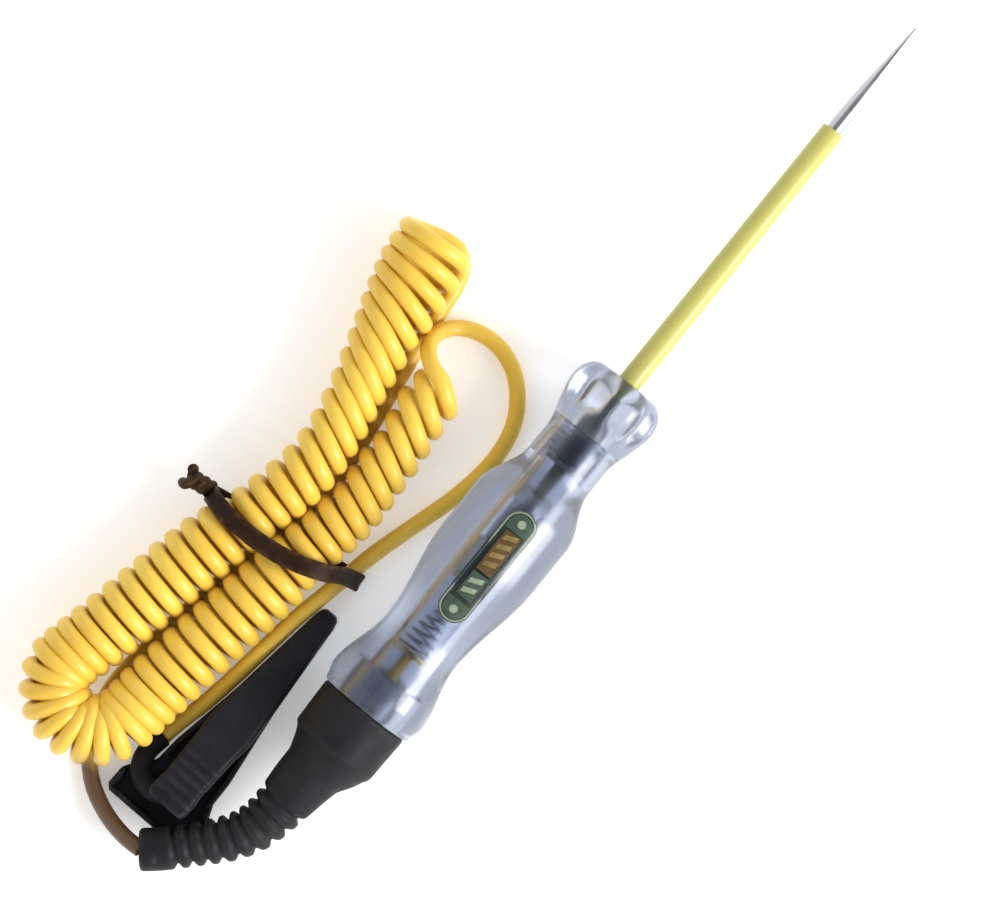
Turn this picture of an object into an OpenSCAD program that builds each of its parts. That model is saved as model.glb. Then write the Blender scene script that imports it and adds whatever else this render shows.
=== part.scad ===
// Low-voltage circuit test light: clear handle with a lamp, sleeved needle probe,
// retractable curly lead and an insulated spring clip.
// The tester lies along X with its point towards +X, and everything rests on z = 0.

/* [Handle] */
// Length of the handle with its nose cap, rear face to nose face
handle_len = 93; // [78:1:112]
// Radius of the rolled rim at the rear
rim_r = 12.5; // [11.5:0.1:14]
// Radius of the waist behind the palm swell
waist_r = 9.9; // [8.5:0.1:11]
// Radius of the palm swell
swell_r = 12.8; // [12:0.1:15.4]
// Radius of the neck behind the nose cap
neck_r = 8.5; // [7.9:0.1:10]
// Radius of the bore that holds the lamp and its spring
bore_r = 4.6; // [4.3:0.1:5.6]

/* [Badge] */
// Length of the badge on top of the swell
badge_len = 30; // [24:1:34]
// Width of the badge
badge_w = 7.6; // [6:0.2:9]
// How far the badge stands above the handle
badge_t = 0.4; // [0.3:0.1:0.8]

/* [Nose cap] */
// Length of the cap's fluted grip
cap_len = 14.8; // [12:0.2:18]
// Largest radius of the cap
cap_r = 11.8; // [10.5:0.1:13]
// Outside radius of the cap's screw thread
thread_r = 6.2; // [5.4:0.1:7]
// Length of the screw thread
thread_len = 8; // [6:0.5:10]
// Radial clearance of the thread in the handle
thread_gap = 0.08; // [0.05:0.01:0.1]

/* [Probe] */
// Length of the probe in front of the nose cap
probe_len = 101.8; // [84:0.2:122]
// Radius of the steel rod
rod_r = 1.9; // [1.5:0.1:2.2]
// Outside radius of the insulating sleeve
sleeve_r = 2.7; // [2.4:0.1:3.2]
// Length of bare steel in front of the sleeve
bare_len = 29.2; // [24:0.2:36]
// Length of the ground needle point
point_len = 21; // [15:0.5:23]
// Radius of the brass bush that holds the rod in the cap
bush_r = 3.6; // [3:0.1:4.2]

/* [Lamp] */
// Radius of the lamp's brass base
lamp_r = 3.6; // [3.2:0.1:4]
// Length of the lamp's base
lamp_base_len = 9; // [7:0.5:10]
// Length of the lamp's glass
lamp_glass_len = 12; // [10:0.5:14]
// Length of the spring behind the lamp, with the cap screwed home
spring_len = 18; // [14:1:20]

/* [Rear end] */
// Radius of the plug in the handle's rear
plug_r = 6; // [5.2:0.1:7]
// Length of the plug
plug_len = 8; // [6:0.5:9]
// Radius of the strain relief's base
boot_r = 10.9; // [9.5:0.1:11.5]

/* [Lead] */
// Diameter of the insulated wire
wire_d = 3.8; // [3.4:0.1:4]

/* [Clip] */
// Length of the clip from nose to finger pads
clip_len = 62.5; // [61:0.5:72]
// Half width of the finger pad
pad_half = 13; // [11:0.2:13.4]
// Wall of the insulating covers
cover_wall = 1.3; // [1:0.1:1.6]
// Sheet thickness of the steel jaws
sheet_t = 0.7; // [0.5:0.1:0.9]
// Radius of the pivot pin
pin_r = 1.2; // [0.9:0.1:1.5]
// Radial clearance of the upper jaw on the pin
pin_gap = 0.06; // [0.03:0.01:0.1]

/* [Hidden] */

$fn = 64;
axis_z = swell_r;                       // the swell touches the ground
rear_x = -(handle_len + probe_len) / 2; // rear face of the handle
nose_x = rear_x + handle_len;           // front face of the nose cap
tip_x = nose_x + probe_len;             // point of the needle
seam_x = nose_x - cap_len;              // where the cap meets the handle

// Handle outline: [distance from the rear face, radius], eased between stations
rim_at = 4.4;
waist_at = 19.4;
swell_at = [43.4, 55.4];
badge_back = 7.6;                       // badge's middle behind the swell's
neck_at = [9.8, 3.8];                   // behind the cap's seam
peak_at = 6.1;                          // cap's widest ring, behind the nose face
nose_face_r = 7;
rear_face_r = 11.2;
steps = 8;

// Thread and bores
thread_relief = 2;                      // room behind the thread
groove_t = 0.5;
thread_pitch = 1.5;

// Probe and lamp, along the axis
needle_r = 0.3;
shank_step = 0.2;                       // the bare steel stands this much proud of the covered rod
sleeve_gap = 0.2;                       // between the sleeve's end and the step
rod_core_r = rod_r - shank_step;
rod_back = 19;                          // rod behind the cap's seam
sleeve_in = 4.6;                        // sleeve inside the cap
disc_t = 1.4;
socket_wall = 0.5;
socket_gap = 0.06;                      // the lamp turns in its socket
cage_len = lamp_glass_len + 2;
rod_end_x = seam_x - rod_back;
socket_x = rod_end_x - cage_len;        // front edge of the lamp's base
lamp_end_x = socket_x - lamp_base_len;
insulator_t = 0.8;
contact_t = 1.2;
spring_x = lamp_end_x - insulator_t - contact_t;
spring_end_x = spring_x - spring_len;
spring_turns = 8;
spring_wire_r = 0.35;
glass_wall = 0.4;

// Clip: local x runs from the nose (0) to the rear (-clip_len)
clip_nose = [-86, 19.3];
clip_yaw = -2;
pivot = [-35, 6.5];                     // local x and height of the pin
cover_h = 4.5;
tray_t = 1.5;
tooth = 1.3;                            // pitch of the teeth
jaw_line = 4;                           // height where the teeth meet
open_gap = 0.15;                        // half the gap between closed teeth
crimp_at = [-47, -42];
channel_end = 54.5;                     // rear of the upper half's steel
cover_end = 56;                         // rear of its cover
crimp_wall = 0.35;
crimp_z = 4.1;
crimp_y = -0.6;

// Lead, by hand: [x, y, z] of the wire's centre
wire_r = wire_d / 2;
lead_core_r = wire_r - 0.4;             // stripped of its jacket inside the plug
lead_route = [
    [-153.4, 19.4, 9.8], [-153.6, 23, 8.6], [-153.2, 27.5, 6.2], [-152, 32, 3.6], [-150, 36.2, 2.2],
    [-147, 39.8, 1.9], [-143, 42.8, 1.9], [-138, 45.2, 1.9], [-132, 47, 1.9], [-125, 47.2, 1.9],
    [-115, 46.2, 1.9], [-105, 44.6, 1.9], [-95, 42.9, 2], [-87, 41.4, 2.4], [-80, 40, 2.9],
    [-73, 38.3, 2.3], [-66, 37.4, 1.9], [-58, 37.5, 1.9], [-50, 38.5, 1.9], [-42, 39.7, 1.9],
    [-34, 40.9, 1.9], [-26, 42, 1.9], [-18, 43, 1.9], [-11.5, 43.7, 1.9], [-7.2, 45.3, 1.9],
    [-4.7, 48.6, 1.9], [-4.2, 52, 1.9]];
tail_route = [
    [-25.6, 40, 8.8], [-22.8, 40.4, 5.6], [-19.6, 38.7, 3], [-17.2, 35.4, 1.9], [-16, 31, 1.9],
    [-16.4, 26, 1.9], [-18.6, 21.2, 1.9], [-22.4, 17.2, 1.9], [-27.4, 14.2, 1.9], [-33.4, 12.8, 1.9],
    [-40, 12.8, 1.9], [-48, 14.1, 1.9], [-56, 16.3, 1.9], [-64, 18.7, 2], [-71, 20.6, 2.4],
    [-77.6, 21.9, 3], [-84, 23.5, 2.3], [-92, 25.1, 1.9], [-100, 26.1, 1.9], [-110, 27.2, 1.9],
    [-119, 28.9, 1.9], [-127, 30.6, 2.1], [-131.5, 31.4, 2.5]];
// Black sleeve over the wire's last bend, into the clip
sleeve_route = [
    [-131.5, 31.4, 2.5], [-136.4, 32, 4], [-140.5, 30.3, 4.1], [-142.2, 26.2, 4.1],
    [-140.5, 22.1, 4.1], [-136.4, 20.4, 4.1], [-133.05, 20.34, 4.1]];
tail_sleeve_wall = 0.45;

// Curly part, by hand: [x, y, z, outer radius] along the middle of the coil
arm_1 = [
    [-6, 52, 8.9, 8.9], [-18, 51.3, 8.7, 8.7], [-28, 49.9, 8.4, 8.4], [-38, 48, 8.4, 8.2],
    [-46, 46.3, 8.9, 7.8], [-54, 44.7, 9.8, 7.4], [-60, 44.1, 10.2, 7.2], [-66, 44.4, 9.9, 7.2],
    [-72, 45.4, 9.2, 7.3], [-78, 46.9, 8.5, 7.3], [-82, 47.9, 8.5, 7.3], [-86, 49.3, 8.4, 7.9],
    [-92, 50.9, 8.4, 8.3], [-100, 52.6, 8.4, 8.4], [-110, 54.6, 8.4, 8.4], [-120, 56.7, 9.2, 8.4]];
arm_2 = [
    [-120, 38.2, 9.2, 8.3], [-110, 36.8, 8.4, 8.3], [-100, 35.2, 8.4, 8.3], [-92, 33.9, 8.4, 8.2],
    [-86, 33, 8.4, 7.9], [-82, 32.7, 8.5, 7.3], [-78, 32.1, 8.5, 7.3], [-72, 30.7, 7.6, 7.2],
    [-66, 29.9, 7.4, 7.2], [-60, 29.7, 7.4, 7.2], [-54, 30, 7.4, 7.2], [-46, 30.6, 7.6, 7.5],
    [-38, 31.5, 7.9, 7.8], [-31, 32.1, 8.3, 8.2], [-27, 32.3, 8.5, 8.4]];
fold_mid = [-131.5, 49.5];
fold_r = 9.35;
fold_z = 11.9;
fold_wire_r = 8.2;                      // coil radius round the fold

// Twist tie
tie_t = 0.75;
tie_w = 3.6;
tie_at = [-79.7, 40];
tie_lean = 7.5;
tie_reach = 8.7;                        // from the band's middle to each arm's middle
tie_height = 8.8;
tie_r = 7.7;
tie_tail_at = [-18, -18.9];             // where the band goes round the tail
tie_tail_z = 3;
tie_twist_len = 5.5;
tie_twist_at = [-81.2, 57.75, 10.6];

// Strain relief: [x, y, z, radius] behind its straight base
boot_base_len = 12;
boot_cone_len = 5.4;
boot_neck_r = 7.4;
relief_route = [
    [-119, 0.9, 12.6, 6.7], [-124, 1.2, 12.4, 5.6], [-128.5, 1.6, 12, 5.3], [-132.5, 2.4, 11.7, 5.2],
    [-136.2, 3.9, 11.3, 5], [-139.6, 6.1, 11, 4.9], [-142.9, 8.9, 10.7, 4.8], [-146, 11.7, 10.4, 4.7],
    [-149, 14.5, 10.1, 4.6], [-151.4, 16.9, 9.9, 4.5], [-153.4, 19.4, 9.8, 4.3]];

function unit(v) = v / norm(v);
function xyz(p) = [p[0], p[1], p[2]];
function ease(a, b, t) = a + (b - a) * (1 - cos(180 * t)) / 2;
function heading(path, i) = unit(path[min(i + 1, len(path) - 1)] - path[max(i - 1, 0)]);
function ring(c, along, r, sides, ref) =
    let (side = unit(cross(along, ref)), up = cross(side, along))
    [for (k = [0 : sides - 1]) c + r * (cos(360 * k / sides) * side + sin(360 * k / sides) * up)];

// A closed tube swept through the points of a path, one ring at each point
module tube(path, radii, sides = 8, ref = [0, 0, 1]) {
    n = len(path);
    points = [for (i = [0 : n - 1]) each ring(path[i], heading(path, i), radii[i], sides, ref)];
    walls = [for (i = [0 : n - 2], k = [0 : sides - 1])
        let (a = i * sides, b = a + sides, m = (k + 1) % sides)
            each [[a + k, b + m, b + k], [a + k, a + m, b + m]]];
    ends = [[for (k = [sides - 1 : -1 : 0]) k], [for (k = [0 : sides - 1]) (n - 1) * sides + k]];
    polyhedron(points, concat(walls, ends), convexity = 8);
}

// Eased points from one station to the next, without the last
function eased(a, b) = [for (k = [0 : steps - 1]) let (t = k / steps)
    [a[0] + (b[0] - a[0]) * t, ease(a[1], b[1], t)]];

// Outline of handle and cap from the rim forwards, with the cap's rounded nose
neck_a = [seam_x - neck_at[0], neck_r];
neck_b = [seam_x - neck_at[1], neck_r];
cap_peak = [nose_x - peak_at, cap_r];
rim = [rear_x + rim_at, rim_r];
waist = [rear_x + waist_at, waist_r];
swell_a = [rear_x + swell_at[0], swell_r];
swell_b = [rear_x + swell_at[1], swell_r];
seam_r = ease(neck_r, cap_r, (seam_x - neck_b[0]) / (cap_peak[0] - neck_b[0]));
seam_stations = [for (k = [1 : steps]) let (x = neck_b[0] + (seam_x - neck_b[0]) * k / steps)
    [x, ease(neck_r, cap_r, (x - neck_b[0]) / (cap_peak[0] - neck_b[0]))]];
cap_stations = [for (k = [0 : steps]) let (x = seam_x + (cap_peak[0] - seam_x) * k / steps)
    [x, ease(neck_r, cap_r, (x - neck_b[0]) / (cap_peak[0] - neck_b[0]))]];
cap_round = [for (k = [1 : steps]) let (a = 90 * k / steps)
    [cap_peak[0] + peak_at * sin(a), nose_face_r + (cap_r - nose_face_r) * cos(a)]];
handle_outline = concat([[rear_x, rear_face_r]], eased([rear_x + 0.4, 11.6], rim), eased(rim, waist),
    eased(waist, swell_a), eased(swell_a, swell_b), eased(swell_b, neck_a), [neck_a, neck_b], seam_stations);

// Turns a profile of [x, radius] about the tester's axis
module turned(profile) {
    translate([0, 0, axis_z]) rotate([90, 0, 90]) rotate_extrude() rotate(90)
        mirror([0, 1]) polygon(profile);
}

// A rod of radius r between two stations on the axis
module rod(x0, x1, r) {
    translate([x0, 0, axis_z]) rotate([0, 90, 0]) cylinder(h = x1 - x0, r = r);
}

module handle() {
    color([0.62, 0.68, 0.76, 0.5]) difference() {
        turned(concat([[rear_x, 0]], handle_outline, [[seam_x, 0]]));
        rod(rear_x + plug_len, seam_x, bore_r);
        rod(seam_x - thread_len - thread_relief, seam_x + 1, thread_r + thread_gap);
        rod(rear_x - 1, rear_x + plug_len, plug_r);
    }
}

// Badge: a curved stadium that follows the swell
module badge() {
    mid = (swell_a[0] + swell_b[0]) / 2 - badge_back;
    color([0.12, 0.16, 0.1]) translate([0, 0, axis_z]) rotate([5, 0, 0]) translate([0, 0, -axis_z])
        difference() {
            intersection() {
                turned(concat([[rear_x + 1, 0]],
                    [for (p = handle_outline) if (p[0] > rear_x + 1) p + [0, badge_t]], [[seam_x, 0]]));
                translate([mid, 0, axis_z]) linear_extrude(swell_r + 2)
                    for (side = [-1, 1]) {
                        translate([side * (badge_len - badge_w) / 2, 0]) circle(d = badge_w);
                        translate([-(badge_len - badge_w) / 2, -badge_w / 2])
                            square([badge_len - badge_w, badge_w]);
                    }
            }
            turned(concat([[rear_x, 0]], handle_outline, [[seam_x, 0]]));
        }
}

// Nose cap: fluted grip, threaded stub, stepped bore for bush and sleeve
module nose_cap() {
    flutes = 8;
    flute_r = 3.2;
    flute_t = 1.3;
    flute_at = 2.5;
    color([0.62, 0.68, 0.76, 0.5]) difference() {
        union() {
            turned(concat([[seam_x, 0]], cap_stations, cap_round, [[nose_x, 0]]));
            rod(seam_x - thread_len, seam_x, thread_r);
        }
        for (k = [0 : flutes - 1])
            translate([0, 0, axis_z]) rotate([360 * k / flutes, 0, 0])
                translate([seam_x + flute_at, 0, cap_r + flute_r - flute_t]) rotate([0, 90, 0])
                    cylinder(h = cap_len, r = flute_r);
        for (x = [seam_x - thread_len + 1 : thread_pitch : seam_x - 1])
            thread_groove(x);
        rod(seam_x - thread_len - 1, nose_x - sleeve_in, bush_r);
        rod(nose_x - sleeve_in - 1, nose_x + 1, sleeve_r);
    }
}

module thread_groove(x) {
    turned([[x - groove_t, thread_r + 1], [x - groove_t, thread_r + 0.01], [x, thread_r - groove_t],
        [x + groove_t, thread_r + 0.01], [x + groove_t, thread_r + 1]]);
}

// Brass bush pressed into the cap round the steel rod, with a shoulder behind the thread
module probe_bush() {
    shoulder_t = 1.2;
    back = seam_x - thread_len;
    color([0.72, 0.58, 0.3]) difference() {
        union() {
            rod(back, nose_x - sleeve_in, bush_r);
            rod(back - shoulder_t, back, bush_r + 1);
        }
        rod(back - shoulder_t - 1, nose_x, rod_core_r);
    }
}

module probe_rod() {
    color([0.75, 0.75, 0.76]) {
        turned([[rod_end_x, 0], [rod_end_x, rod_core_r], [tip_x - bare_len, rod_core_r],
            [tip_x - bare_len, rod_r], [tip_x - point_len, rod_r], [tip_x - 0.5, needle_r], [tip_x, needle_r / 3],
            [tip_x, 0]]);
    }
}

module probe_sleeve() {
    color([0.86, 0.8, 0.42]) difference() {
        rod(nose_x - sleeve_in, tip_x - bare_len - sleeve_gap, sleeve_r);
        rod(nose_x - sleeve_in - 1, tip_x, rod_core_r);
    }
}

// Plated cage on the rod's end that grips the lamp's base
module lamp_socket() {
    outer = lamp_r + socket_gap + socket_wall;
    window = 3.6;
    color([0.45, 0.43, 0.36]) difference() {
        rod(lamp_end_x + 1.5, rod_end_x, outer);
        rod(lamp_end_x, rod_end_x - disc_t, lamp_r + socket_gap);
        for (k = [0 : 3])
            translate([0, 0, axis_z]) rotate([45 + 90 * k, 0, 0])
                translate([socket_x + 1, -window / 2, 0])
                    cube([cage_len - disc_t - 2, window, outer + 1]);
    }
}

module lamp_glass() {
    dome_r = lamp_r - 0.5;
    dome = [for (k = [0 : steps]) let (a = 90 * k / steps)
        [socket_x + lamp_glass_len - dome_r + dome_r * sin(a), dome_r * cos(a)]];
    inner = [for (p = dome) p[1] < glass_wall ? [p[0] - glass_wall, 0] : [p[0] - glass_wall, p[1] - glass_wall]];
    color([0.9, 0.92, 0.95, 0.4]) difference() {
        turned(concat([[socket_x, 0], [socket_x, dome_r]], dome));
        turned(concat([[socket_x - 1, 0], [socket_x - 1, dome_r - glass_wall]], inner));
    }
}

module lamp_base() {
    color([0.76, 0.6, 0.3]) rod(lamp_end_x, socket_x, lamp_r);
}

module lamp_insulator() {
    color([0.1, 0.1, 0.12]) rod(lamp_end_x - insulator_t, lamp_end_x, lamp_r - 0.8);
}

module lamp_contact() {
    back = lamp_end_x - insulator_t;
    color([0.7, 0.7, 0.7]) turned([[back, 0], [back, 1.4], [back - 0.7, 1.2], [back - contact_t, 0.6],
        [back - contact_t, 0]]);
}

module lamp_posts() {
    color([0.6, 0.6, 0.62]) for (side = [-1, 1])
        translate([socket_x, side * 1.2, axis_z]) rotate([0, 90, 0]) cylinder(h = 6, r = 0.2);
}

module lamp_filament() {
    color([0.35, 0.33, 0.3]) translate([socket_x + 6.2, -1.3, axis_z]) rotate([-90, 0, 0])
        cylinder(h = 2.6, r = 0.22);
}

// Conical spring from the disc to the lamp's end contact
module contact_spring() {
    per_turn = 12;
    n = spring_turns * per_turn;
    big = bore_r - 1.1;
    small = 1.1;
    path = [for (i = [0 : n]) let (t = i / n, a = 360 * i / per_turn, r = big + (small - big) * t)
        [spring_end_x + spring_wire_r + 0.05 + (spring_len - 2 * spring_wire_r - 0.1) * t,
         r * cos(a), axis_z + r * sin(a)]];
    color([0.7, 0.7, 0.72]) tube(path, [for (p = path) spring_wire_r], 6, [1, 0, 0]);
}

module spring_disc() {
    color([0.76, 0.6, 0.3]) rod(spring_end_x - disc_t, spring_end_x, bore_r - 0.1);
}

// Insulated end of the lead, from the plug's rear to the solder joint on the disc
module lead_core() {
    color([0.85, 0.68, 0.25]) rod(rear_x, spring_end_x - disc_t, lead_core_r);
}

module rear_plug() {
    color([0.1, 0.1, 0.11]) difference() {
        rod(rear_x, rear_x + plug_len, plug_r);
        rod(rear_x - 1, rear_x + plug_len + 1, lead_core_r);
    }
}

// Rubber strain relief: straight base, shoulder, then a tail that bends with the lead
module strain_relief() {
    base_end = rear_x - boot_base_len;
    neck = [base_end - boot_cone_len, 0.6, axis_z, boot_neck_r];
    route = concat([neck + [2, 0, 0, 0]], [neck], relief_route);
    color([0.1, 0.1, 0.11]) union() {
        turned([[rear_x, 0], [rear_x, boot_r - 0.3], [rear_x - 1, boot_r], [base_end, boot_r - 0.4],
            [base_end - boot_cone_len, boot_neck_r], [base_end - boot_cone_len, 0]]);
        tube([for (p = route) xyz(p)], [for (p = route) p[3]], 24);
    }
}

module cord_lead() {
    color([0.55, 0.42, 0.25]) tube(lead_route, [for (p = lead_route) wire_r]);
}

module cord_tail() {
    color([0.85, 0.72, 0.3]) tube(tail_route, [for (p = tail_route) wire_r]);
}

module tail_sleeve() {
    color([0.1, 0.1, 0.11]) tube(sleeve_route, [for (p = sleeve_route) wire_r + tail_sleeve_wall], 10);
}

// The coil's outer shape, folded once
module cord_coil() {
    bend = [for (k = [0 : 8]) let (a = 90 + 180 * k / 8)
        [fold_mid[0] + fold_r * cos(a), fold_mid[1] + fold_r * sin(a),
         fold_z - 1.2 * abs(k - 4) / 4, fold_wire_r - 0.1 * k / 8]];
    route = concat(arm_1, bend, arm_2);
    color([0.88, 0.7, 0.24]) tube([for (p = route) xyz(p)], [for (p = route) p[3]], 12);
}

module tie_outline(grow) {
    hull() {
        for (side = [-1, 1]) translate([side * tie_reach, tie_height]) circle(r = tie_r + grow, $fn = 32);
        for (v = tie_tail_at) translate([v, tie_tail_z]) circle(r = wire_r + grow, $fn = 24);
    }
}

module tie_band() {
    slack = 0.5;
    color([0.16, 0.1, 0.06]) translate([tie_at[0] - tie_w / 2, tie_at[1], 0]) rotate([90, 0, 90 + tie_lean])
        linear_extrude(tie_w) difference() {
            tie_outline(slack + tie_t);
            tie_outline(slack);
        }
}

module tie_twist() {
    color([0.16, 0.1, 0.06]) translate(tie_twist_at) rotate([-78, 0, 7.5])
        cylinder(h = tie_twist_len, r1 = 2.2, r2 = 1.8);
}

// Places the clip's own frame in the model
module at_clip() {
    translate([clip_nose[0], clip_nose[1], 0]) rotate([0, 0, clip_yaw]) children();
}

// Plan outlines of the covers, as half widths by distance behind the nose
lower_plan = [[0, 1.4], [-0.8, 2.2], [-2.5, 2.7], [-24, 4.8], [-31, 5.8], [-44, 7.8], [-50, 8.1],
    [-53, 9.4], [-55.5, pad_half - 0.8], [-57, pad_half], [-clip_len + 1.2, pad_half], [-clip_len, pad_half - 1.2]];
upper_plan = [[0, 1.4], [-0.8, 2.2], [-2.5, 2.7], [-24, 4.9], [-34, 5.7], [-40, 5.2], [-50, 4.9],
    [-52, 5.2], [-cover_end + 1, 5.2], [-cover_end, 4.5]];
// Plan of the steel channel inside the upper cover
channel_plan = [[-1.3, 1.1], [-2.5, 1.4], [-24, 3.35], [-channel_end, 3.55]];

module plan(outline, inset = 0) {
    left = [for (p = outline) [p[0], p[1] - inset]];
    right = [for (i = [len(outline) - 1 : -1 : 0]) [outline[i][0], -(outline[i][1] - inset)]];
    polygon(concat(left, right));
}

// Straight jaw plan, narrow at the nose
jaw_plan = [[-1.6, 0.95], [-2.7, 1.35], [-24, 3.3], [-41, 3.9]];

// Lower cover: a shallow tray with a notch where the wire comes in
module clip_lower_cover() {
    color([0.1, 0.1, 0.11]) at_clip() difference() {
        linear_extrude(cover_h) plan(lower_plan);
        translate([0, 0, tray_t]) linear_extrude(cover_h) intersection() {
            plan(lower_plan, cover_wall);
            translate([-clip_len + cover_wall, -20]) square([clip_len - 2 * cover_wall, 40]);
        }
        translate([-2, 0, 0]) nose_slot();
        translate([-57, 7, tray_t]) cube([8.2, 10, cover_h]);
    }
}

// Lets the toothed nose pass through the front of the tray
module nose_slot() {
    translate([-1, -1.4, jaw_line - 0.4]) cube([5, 2.8, 2]);
}

module teeth(z, side) {
    for (x = [-26 : tooth : -3])
        translate([x, 0, z]) rotate([90, 0, 0]) linear_extrude(20, center = true)
            polygon([[0, 0], [tooth / 2, side * 0.7], [tooth, 0]]);
}

// Lower jaw: pressed channel with toothed edges and two ears for the pin
module clip_lower_jaw() {
    ear_y = 4;
    color([0.6, 0.6, 0.62]) at_clip() difference() {
        union() {
            translate([0, 0, tray_t]) linear_extrude(sheet_t) plan(jaw_plan);
            translate([0, 0, tray_t]) linear_extrude(jaw_line - tray_t - open_gap) difference() {
                plan(jaw_plan);
                plan([for (p = jaw_plan) [p[0] - 0.6, p[1] - sheet_t * 0.75]]);
                translate([-60, -10]) square([28, 20]);
            }
            for (side = [-1, 1])
                translate([0, side * ear_y, 0]) rotate([90, 0, 0]) translate([0, 0, -sheet_t / 2])
                    linear_extrude(sheet_t) polygon([[pivot[0] - 3, tray_t], [pivot[0] - 3, pivot[1] + 1],
                        [pivot[0] - 1.5, pivot[1] + 2.4], [pivot[0] + 1.5, pivot[1] + 2.4],
                        [pivot[0] + 3, pivot[1] + 1], [pivot[0] + 3, tray_t]]);
            translate([pivot[0] - 3, -ear_y - sheet_t / 2, tray_t]) cube([6, 2 * ear_y + sheet_t, sheet_t]);
        }
        teeth(jaw_line - open_gap, -1);
        pin_hole(pin_r);
    }
}

module pin_hole(r) {
    translate([pivot[0], 0, pivot[1]]) rotate([90, 0, 0]) cylinder(h = 30, r = r, center = true);
}

// Side views of the upper half: steel channel and the cover over it
upper_top = [[-1.3, 6], [-12, 7.6], [-24, 9.6], [-35, 11.2], [-45, 13.2], [-channel_end, 15.6]];
upper_low = [[-channel_end, 13.6], [-45, 11], [-39, 8.6], [-38, 5], [-31, 4.9], [-28.5, 4.15], [-1.3, 4.15]];

module side_view(points, half) {
    rotate([90, 0, 0]) linear_extrude(2 * half, center = true) polygon(points);
}

module upper_envelope() {
    intersection() {
        side_view(concat(upper_top, upper_low), 20);
        linear_extrude(30) plan(channel_plan);
    }
}

module clip_upper_jaw() {
    inner = concat([for (p = upper_top) p + [0, -sheet_t]],
        [[-60, 13], [-60, 0], [0, 0], [0, 6 - sheet_t]]);
    color([0.6, 0.6, 0.62]) at_clip() difference() {
        upper_envelope();
        intersection() {
            side_view(inner, 20);
            linear_extrude(30) plan([[-2, 0.5], [-24, 2.7], [-60, 2.9]]);
        }
        teeth(4.15, 1);
        pin_hole(pin_r + pin_gap);
    }
}

// Upper cover: a cap over the steel channel with a flared finger pad
module clip_upper_cover() {
    top = [for (p = upper_top) p + [0, cover_wall]];
    skirt = [[-cover_end, 14], [-45, 10.6], [-40.5, 8], [-39.2, 6.2], [-33, 5.2], [-27, 4.75], [0, 4.75]];
    color([0.1, 0.1, 0.11]) at_clip() difference() {
        intersection() {
            side_view(concat([[0, 6.6]], top, [[-cover_end, 17.3]], skirt), 20);
            linear_extrude(30) plan(upper_plan);
        }
        intersection() {
            side_view(concat(upper_top, [[-channel_end, 0], [-1.3, 0]]), 20);
            linear_extrude(30) plan(channel_plan);
        }
        ear_pocket();
    }
}

// Room inside the upper cover for the lower jaw's ears and the pin's heads
module ear_pocket() {
    for (side = [-1, 1])
        translate([0, side * 4.15, 0]) rotate([90, 0, 0]) linear_extrude(1.5, center = true)
            polygon([[pivot[0] - 4.6, 0], [pivot[0] - 4.6, pivot[1] + 1.8], [pivot[0] - 2, pivot[1] + 3.2],
                [pivot[0] + 2, pivot[1] + 3.2], [pivot[0] + 4.6, pivot[1] + 1.8], [pivot[0] + 4.6, 0]]);
}

module clip_pin() {
    color([0.7, 0.7, 0.72]) at_clip() translate([pivot[0], 0, pivot[1]]) rotate([90, 0, 0])
        cylinder(h = 8.7, r = pin_r, center = true);
}

// Torsion spring round the pin, one leg on each half
module clip_spring() {
    per_turn = 12;
    turns = 3.25;
    n = turns * per_turn;
    r = pin_r + 0.75;
    coil = [for (i = [0 : n]) let (a = 200 - 360 * i / per_turn)
        [pivot[0] + r * cos(a), -1.9 + 3.8 * i / n, pivot[1] + r * sin(a)]];
    legs = [[[pivot[0] - 5.8, -1.9, 2.7], [pivot[0] - 4.5, -1.9, 4.3]],
        [[pivot[0] - 4.5, 1.9, 9], [pivot[0] - 8, 1.9, 10.4]]];
    path = concat(legs[0], coil, legs[1]);
    color([0.7, 0.7, 0.72]) at_clip() tube(path, [for (p = path) 0.4], 6, [0, 1, 0]);
}

// Folded barrel that grips the wire, behind the lower jaw
module clip_crimp() {
    color([0.6, 0.6, 0.62]) at_clip() {
        translate([crimp_at[0], crimp_y, crimp_z]) rotate([0, 90, 0])
            difference() {
                cylinder(h = crimp_at[1] - crimp_at[0], r = wire_r + crimp_wall);
                translate([0, 0, -1]) cylinder(h = 20, r = wire_r);
            }
        translate([crimp_at[0], crimp_y - 1, tray_t])
            cube([crimp_at[1] - crimp_at[0], 2, crimp_z - wire_r - tray_t]);
    }
}

handle();
badge();
nose_cap();
probe_bush();
probe_rod();
probe_sleeve();
lamp_socket();
lamp_glass();
lamp_base();
lamp_insulator();
lamp_contact();
lamp_posts();
lamp_filament();
contact_spring();
spring_disc();
lead_core();
rear_plug();
strain_relief();
cord_lead();
cord_coil();
cord_tail();
tail_sleeve();
tie_band();
tie_twist();
clip_lower_cover();
clip_lower_jaw();
clip_upper_cover();
clip_upper_jaw();
clip_pin();
clip_spring();
clip_crimp();
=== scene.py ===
import math

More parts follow.
